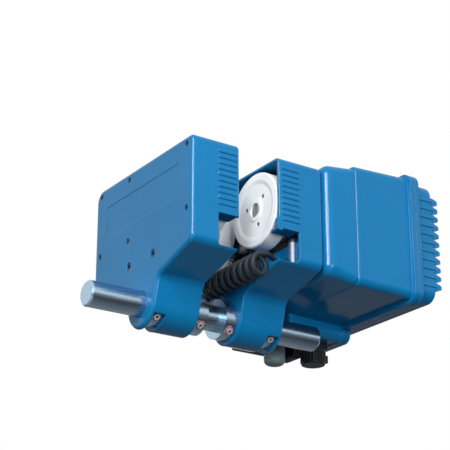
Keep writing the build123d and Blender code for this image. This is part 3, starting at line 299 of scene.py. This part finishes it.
# Gears and shafts: milled and ground steel with a thin film of grease.
# They turn inside the housings, and the drive gear runs between the two toothed wheels.
gear_steel = start_finish("oiled_gear_steel", metallic=1.0, specular=0.5)
grease = piece_noise(gear_steel, even, scale=90, detail=4)
tint(gear_steel, grease, dark=(0.26, 0.25, 0.23), light=(0.46, 0.46, 0.45))
vary_gloss(gear_steel, grease, low=0.16, high=0.42)
dress(gear_steel, "output_shaft", "final_gear", "layshaft", "first_gear", "motor_shaft", "unit_bearings")

# Motor core and brake: stacked sheet iron, blued by annealing, and a cast brake magnet and disc.
# The end shield that closes the motor is a machined aluminium casting.
core_iron = start_finish("core_iron", metallic=1.0, specular=0.5)
sheet_stack = piece_noise(core_iron, (90, 1, 1), scale=14, detail=2)
tint(core_iron, sheet_stack, dark=(0.12, 0.12, 0.13), light=(0.25, 0.25, 0.26))
vary_gloss(core_iron, sheet_stack, low=0.45, high=0.65)
dress(core_iron, "stator", "rotor_core", "brake_magnet", "brake_disc")
cast_aluminium = start_finish("cast_aluminium", metallic=1.0, specular=0.5)
shield_cloud = piece_noise(cast_aluminium, even, scale=220, detail=4)
tint(cast_aluminium, shield_cloud, dark=(0.52, 0.53, 0.54), light=(0.68, 0.69, 0.7))
vary_gloss(cast_aluminium, shield_cloud, low=0.35, high=0.55)
add_relief(cast_aluminium, shield_cloud, height=0.0001, strength=0.3)
dress(cast_aluminium, "end_shield")

# Connection box, lid, socket and cord gland: dark moulded plastic with a fine spark-eroded grain.
# The blank gland beside the lid is moulded in grey.
dark_plastic = start_finish("dark_plastic", metallic=0.0, specular=0.2)
dark_grain = piece_noise(dark_plastic, even, scale=900, detail=2)
tint(dark_plastic, dark_grain, dark=(0.006, 0.011, 0.014), light=(0.012, 0.019, 0.024))
vary_gloss(dark_plastic, dark_grain, low=0.34, high=0.5)
add_relief(dark_plastic, dark_grain, height=0.00012, strength=0.25)
dress(dark_plastic, "connection_box", "connection_lid", "socket_base", "socket_cap", "cord_gland")
grey_plastic = start_finish("grey_plastic", metallic=0.0, specular=0.4)
grey_grain = piece_noise(grey_plastic, even, scale=700, detail=3)
tint(grey_plastic, grey_grain, dark=(0.19, 0.28, 0.33), light=(0.28, 0.38, 0.42))
vary_gloss(grey_plastic, grey_grain, low=0.38, high=0.55)
add_relief(grey_plastic, grey_grain, height=0.00012, strength=0.25)
dress(grey_plastic, "blank_gland")

# Curly control cord: black rubber-sheathed flex, wound hot on a mandrel so that it keeps its curls.
# It leaves a grommet in the drive cheek and ends in the gland on the connection box.
black_rubber = start_finish("black_rubber", metallic=0.0, specular=0.35)
rubber_cloud = piece_noise(black_rubber, even, scale=500, detail=3)
# Painted reflection and painted light: the black rubber's base is tinted blue for the blue castings it
# mirrors, and lifted to stand in for light the lamps do not give it.
tint(black_rubber, rubber_cloud, dark=(0.011, 0.02, 0.029), light=(0.024, 0.039, 0.054))
vary_gloss(black_rubber, rubber_cloud, low=0.38, high=0.55)
add_relief(black_rubber, rubber_cloud, height=0.00008, strength=0.2)
dress(black_rubber, "cord_grommet", "lip_gasket")

cord_radius = 0.00325
curl_radius = 0.012
curl_pitch = 0.013
curl_start = Vector((0.013, -0.1, -0.0355))
curl_turns = 10.25
points_each_turn = 16
grommet_y = -0.086
grommet_z = -0.0235
gland_y = 0.084
gland_z = -0.0605
tail_x = 0.001
cord_exit = (0.056, grommet_y, grommet_z)
route = [
    cord_exit,
    (0.049, grommet_y, grommet_z),
    (0.0406, grommet_y, grommet_z),
    (0.0213, -0.1015, grommet_z),
]
for step in range(round(curl_turns * points_each_turn) + 1):
    turn = 2 * math.pi * step / points_each_turn
    forward = curl_pitch * step / points_each_turn
    across = -curl_radius * math.sin(turn)
    upward = curl_radius * math.cos(turn)
    route.append(curl_start + Vector((across, forward, upward)))
route += [
    (tail_x, 0.036, gland_z),
    (tail_x, 0.0573, gland_z),
    (tail_x, gland_y, gland_z),
    (0.027, gland_y, gland_z),
    (0.084, gland_y, gland_z),
]
cord_line = bpy.data.curves.new("control_cord", "CURVE")
cord_line.dimensions = "3D"
cord_line.bevel_depth = cord_radius
cord_line.bevel_resolution = 5
cord_line.resolution_u = 4
cord_line.use_fill_caps = True
spline = cord_line.splines.new("NURBS")
spline.points.add(len(route) - 1)
for point, place in zip(spline.points, route):
    point.co = (*place, 1)
spline.order_u = 3
spline.use_endpoint_u = True
cord = bpy.data.objects.new("control_cord", cord_line)
bpy.context.scene.collection.objects.link(cord)
cord_line.materials.append(black_rubber)
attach(cord, "drive_side")
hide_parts("curly_cord")

# Studio: a pale matt floor well below the hanging trolley, and a white surround.
# Both look pale but throw back only a little soft light. Bright metal mirrors the floor grey, with a
# painted dark patch in front of the trolley that paints its reflections darker.
floor_height = -0.8
floor_size = 60
shade_grey = (0.3, 0.3, 0.3, 1)
pale_grey = (0.8, 0.8, 0.8, 1)
bounce_grey = (0.11, 0.11, 0.11, 1)
spot_middle = (0.5, -1.2, 0)
spot_inner = 0.6
spot_outer = 2.0
reflected_spot_grey = 0.1
mirrored_grey = 0.6
soft_grey = (0.34, 0.34, 0.34, 1)
bpy.ops.mesh.primitive_plane_add(size=floor_size, location=(0, 0, floor_height))
floor = bpy.context.object
floor.name = "studio_floor"
floor_paint = bpy.data.materials.new("floor_paint")
floor_paint.use_nodes = True
floor_tree = floor_paint.node_tree
floor_tree.nodes.remove(floor_tree.nodes["Principled BSDF"])
floor_shade = floor_tree.nodes.new("ShaderNodeBsdfDiffuse")
floor_shade.inputs["Color"].default_value = shade_grey
floor_pale = floor_tree.nodes.new("ShaderNodeEmission")
floor_pale.inputs["Color"].default_value = pale_grey
floor_pale.inputs["Strength"].default_value = 1.0
floor_seen = floor_tree.nodes.new("ShaderNodeAddShader")
floor_tree.links.new(floor_shade.outputs["BSDF"], floor_seen.inputs[0])
floor_tree.links.new(floor_pale.outputs["Emission"], floor_seen.inputs[1])
floor_bounce = floor_tree.nodes.new("ShaderNodeBsdfDiffuse")
floor_bounce.inputs["Color"].default_value = bounce_grey
# Painted reflection: glossy rays see the floor nearly black around a spot in front of the trolley, fading
# to mid grey further out.
floor_mirrored = floor_tree.nodes.new("ShaderNodeBsdfDiffuse")
floor_place = floor_tree.nodes.new("ShaderNodeTexCoord")
reflected_dark_spot = floor_tree.nodes.new("ShaderNodeVectorMath")
reflected_dark_spot.operation = "DISTANCE"
reflected_dark_spot.inputs[1].default_value = spot_middle
floor_tree.links.new(floor_place.outputs["Object"], reflected_dark_spot.inputs[0])
floor_fade = floor_tree.nodes.new("ShaderNodeMapRange")
floor_fade.inputs["From Min"].default_value = spot_inner
floor_fade.inputs["From Max"].default_value = spot_outer
floor_fade.inputs["To Min"].default_value = reflected_spot_grey
floor_fade.inputs["To Max"].default_value = mirrored_grey
floor_tree.links.new(reflected_dark_spot.outputs["Value"], floor_fade.inputs["Value"])
floor_tree.links.new(floor_fade.outputs["Result"], floor_mirrored.inputs["Color"])


def show_by_way(tree, way, others, shown, output):
    """Let rays of one kind find one shader, and all the others another."""
    path = tree.nodes.new("ShaderNodeLightPath")
    choice = tree.nodes.new("ShaderNodeMixShader")
    tree.links.new(path.outputs[way], choice.inputs["Fac"])
    tree.links.new(others, choice.inputs[1])
    tree.links.new(shown, choice.inputs[2])
    tree.links.new(choice.outputs["Shader"], tree.nodes[output].inputs["Surface"])
    return choice.outputs["Shader"]


floor_out = "Material Output"
bounced = floor_bounce.outputs["BSDF"]
mirrored = floor_mirrored.outputs["BSDF"]
unseen = show_by_way(floor_tree, "Is Glossy Ray", bounced, mirrored, floor_out)
show_by_way(floor_tree, "Is Camera Ray", unseen, floor_seen.outputs["Shader"], floor_out)
floor.data.materials.append(floor_paint)

surround = bpy.data.worlds.new("studio_surround")
bpy.context.scene.world = surround
surround.use_nodes = True
sky = surround.node_tree
soft_light = sky.nodes["Background"]
soft_light.inputs["Color"].default_value = soft_grey
soft_light.inputs["Strength"].default_value = 1.0
white = sky.nodes.new("ShaderNodeBackground")
white.inputs["Color"].default_value = (1, 1, 1, 1)
white.inputs["Strength"].default_value = 1.0
lit = soft_light.outputs["Background"]
for way in ("Is Glossy Ray", "Is Transmission Ray", "Is Camera Ray"):
    lit = show_by_way(sky, way, lit, white.outputs["Background"], "World Output")

# Lamps: a tall soft box and two fills light the whole trolley from the front and the left.
# Two cards show only as bright lines mirrored in the castings, and one lamp reaches only the wheels.
part_middle = (0, 0, 0)
wheel_gap = (0.03, -0.06, 0.05)


def hang_lamp(name, place, aim, width, height, watts):
    """Rectangular soft lamp, aimed at a point."""
    lamp_data = bpy.data.lights.new(name, "AREA")
    lamp_data.shape = "RECTANGLE"
    lamp_data.size = width
    lamp_data.size_y = height
    lamp_data.energy = watts
    lamp = bpy.data.objects.new(name, lamp_data)
    lamp.location = place
    lamp.rotation_euler = (Vector(aim) - Vector(place)).to_track_quat("-Z", "Y").to_euler()
    bpy.context.scene.collection.objects.link(lamp)
    return lamp


def light_only(lamp, name, lit_nodes):
    """Keep a lamp's light to some of the nodes."""
    group = bpy.data.collections.new(name)
    for node in lit_nodes:
        group.objects.link(nodes[node])
    lamp.light_linking.receiver_collection = group


hang_lamp("tall_soft_box", (-1.7, -1.8, 0.9), part_middle, width=0.35, height=1.6, watts=42)
hang_lamp("front_fill", (-0.6, -2.6, -0.2), part_middle, width=1.2, height=0.9, watts=29)
hang_lamp("side_fill", (-2.4, -0.5, 0.3), part_middle, width=1.0, height=1.0, watts=8)
for side, place, watts in (("left", (-2.2, -1.25, 0.9), 95), ("right", (2.35, -0.75, 0.9), 15)):
    card = hang_lamp(f"{side}_edge_card", place, part_middle, width=0.55, height=1.2, watts=watts)
    card.visible_diffuse = False
    light_only(card, f"{side}_edge_lit", castings)
wheels = [f"{side}_wheel_{end}" for side in ("idle", "drive") for end in ("front", "rear")]
gap_fill = hang_lamp("gap_fill", (-1.2, -2.0, 0.3), wheel_gap, width=0.8, height=0.8, watts=28)
light_only(gap_fill, "gap_lit", wheels)

# Camera: low down in front of the idle side, looking up at the underside of the trolley.
# Its lens is long, so the upright edges lean together only a little.
look_up = 21.43
look_right = 34.01
camera_data = bpy.data.cameras.new("studio_camera")
camera_data.sensor_width = 36
camera_data.lens = 115.97
camera = bpy.data.objects.new("studio_camera", camera_data)
camera.location = (-0.9249, -1.4111, -0.6205)
camera.rotation_euler = (math.radians(90 + look_up), 0, math.radians(-look_right))
bpy.context.scene.collection.objects.link(camera)
bpy.context.scene.camera = camera
bpy.context.scene.view_settings.view_transform = "Standard"
